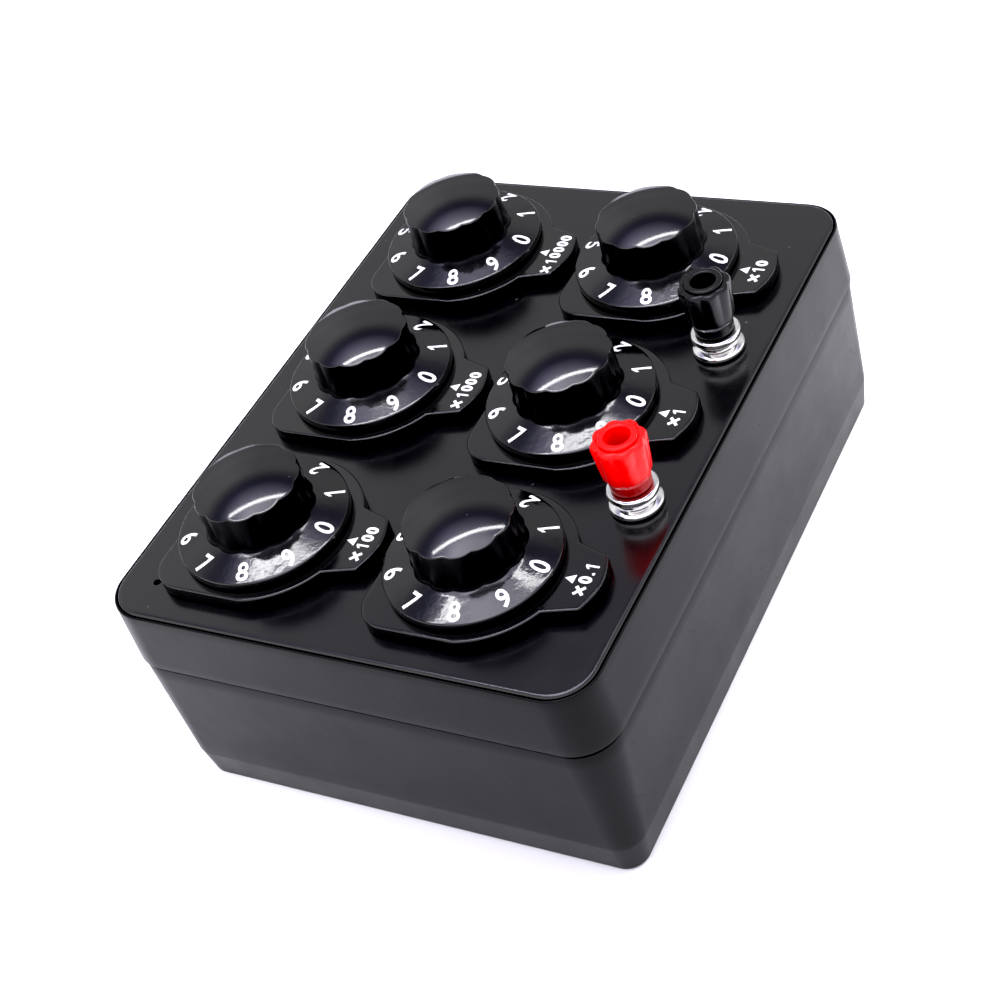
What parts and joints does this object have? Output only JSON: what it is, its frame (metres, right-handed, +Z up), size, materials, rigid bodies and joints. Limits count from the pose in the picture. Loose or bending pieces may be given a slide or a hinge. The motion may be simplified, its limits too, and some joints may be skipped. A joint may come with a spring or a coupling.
{
  "type": "decade resistance box",
  "caption": "Bench decade resistance box: black two-part case, figured dial knobs on fixed plates, a red and a black binding post on the top panel.",
  "frame": {"origin": "centre of the underside, on the surface the box stands on", "axes": "+X along the long side to the operator's right, +Y away from the operator, +Z up out of the panel"},
  "size_m": [0.154, 0.1184, 0.0771],
  "materials": {
    "case_black": "satin moulded, faint scuffs",
    "panel_black": "satin",
    "plate_black": "semi-gloss",
    "knob_black": "polished",
    "nickel_plate": "bright nickel",
    "contact_brass": "satin",
    "zinc_steel": "zinc plated",
    "phenolic": "moulded",
    "resistor_film": "lacquered",
    "red_plastic": "glossy",
    "black_plastic": "glossy"
  },
  "bodies": {
    "case": {"panel_plate": "panel_black", "upper_case": "case_black", "lower_case": "case_black", "case_screw_1": "zinc_steel", "case_screw_2": "zinc_steel", "case_screw_3": "zinc_steel", "case_screw_4": "zinc_steel", "dial_plate_hundreds": "plate_black", "bush_nut_hundreds": "nickel_plate", "switch_body_hundreds": "phenolic", "resistor_chain_hundreds": "resistor_film", "dial_plate_thousands": "plate_black", "bush_nut_thousands": "nickel_plate", "switch_body_thousands": "phenolic", "resistor_chain_thousands": "resistor_film", "dial_plate_ten_thousands": "plate_black", "bush_nut_ten_thousands": "nickel_plate", "switch_body_ten_thousands": "phenolic", "resistor_chain_ten_thousands": "resistor_film", "dial_plate_tenths": "plate_black", "bush_nut_tenths": "nickel_plate", "switch_body_tenths": "phenolic", "resistor_chain_tenths": "resistor_film", "dial_plate_units": "plate_black", "bush_nut_units": "nickel_plate", "switch_body_units": "phenolic", "resistor_chain_units": "resistor_film", "dial_plate_tens": "plate_black", "bush_nut_tens": "nickel_plate", "switch_body_tens": "phenolic", "resistor_chain_tens": "resistor_film", "post_stud_red": "nickel_plate", "solder_tag_red": "contact_brass", "stud_nut_red": "zinc_steel", "post_stud_black": "nickel_plate", "solder_tag_black": "contact_brass", "stud_nut_black": "zinc_steel"},
    "hundreds_dial": {"knob_hundreds": "knob_black", "switch_shaft_hundreds": "zinc_steel", "wiper_hundreds": "contact_brass"},
    "thousands_dial": {"knob_thousands": "knob_black", "switch_shaft_thousands": "zinc_steel", "wiper_thousands": "contact_brass"},
    "ten_thousands_dial": {"knob_ten_thousands": "knob_black", "switch_shaft_ten_thousands": "zinc_steel", "wiper_ten_thousands": "contact_brass"},
    "tenths_dial": {"knob_tenths": "knob_black", "switch_shaft_tenths": "zinc_steel", "wiper_tenths": "contact_brass"},
    "units_dial": {"knob_units": "knob_black", "switch_shaft_units": "zinc_steel", "wiper_units": "contact_brass"},
    "tens_dial": {"knob_tens": "knob_black", "switch_shaft_tens": "zinc_steel", "wiper_tens": "contact_brass"},
    "red_clamp": {"clamp_washer_red": "nickel_plate"},
    "red_nut": {"thumb_nut_red": "red_plastic"},
    "black_clamp": {"clamp_washer_black": "nickel_plate"},
    "black_nut": {"thumb_nut_black": "black_plastic"}
  },
  "joints": [
    {"name": "hundreds_turn", "type": "hinge", "parent": "case", "child": "hundreds_dial", "pos_m": [-0.0491, 0.0291, 0.0579], "axis": [0, 0, 1], "continuous": true},
    {"name": "thousands_turn", "type": "hinge", "parent": "case", "child": "thousands_dial", "pos_m": [-0.001, 0.0291, 0.0579], "axis": [0, 0, 1], "continuous": true},
    {"name": "ten_thousands_turn", "type": "hinge", "parent": "case", "child": "ten_thousands_dial", "pos_m": [0.047, 0.0291, 0.0579], "axis": [0, 0, 1], "continuous": true},
    {"name": "tenths_turn", "type": "hinge", "parent": "case", "child": "tenths_dial", "pos_m": [-0.0491, -0.0225, 0.0579], "axis": [0, 0, 1], "continuous": true},
    {"name": "units_turn", "type": "hinge", "parent": "case", "child": "units_dial", "pos_m": [-0.001, -0.0225, 0.0579], "axis": [0, 0, 1], "continuous": true},
    {"name": "tens_turn", "type": "hinge", "parent": "case", "child": "tens_dial", "pos_m": [0.047, -0.0225, 0.0579], "axis": [0, 0, 1], "continuous": true},
    {"name": "red_clamp_lift", "type": "slide", "parent": "case", "child": "red_clamp", "axis": [0, 0, 1], "range_m": [0, 0.0035]},
    {"name": "red_nut_turn", "type": "hinge", "parent": "red_clamp", "child": "red_nut", "pos_m": [-0.0242, -0.0473, 0.0579], "axis": [0, 0, 1], "range_deg": [0, 1800]},
    {"name": "black_clamp_lift", "type": "slide", "parent": "case", "child": "black_clamp", "axis": [0, 0, 1], "range_m": [0, 0.0035]},
    {"name": "black_nut_turn", "type": "hinge", "parent": "black_clamp", "child": "black_nut", "pos_m": [0.0242, -0.0464, 0.0579], "axis": [0, 0, 1], "range_deg": [0, 1800]}
  ],
  "couplings": [
    {"joint": "red_nut_turn", "follows": "red_clamp_lift", "rad_per_m": 8975.1},
    {"joint": "black_nut_turn", "follows": "black_clamp_lift", "rad_per_m": 8975.1}
  ]
}
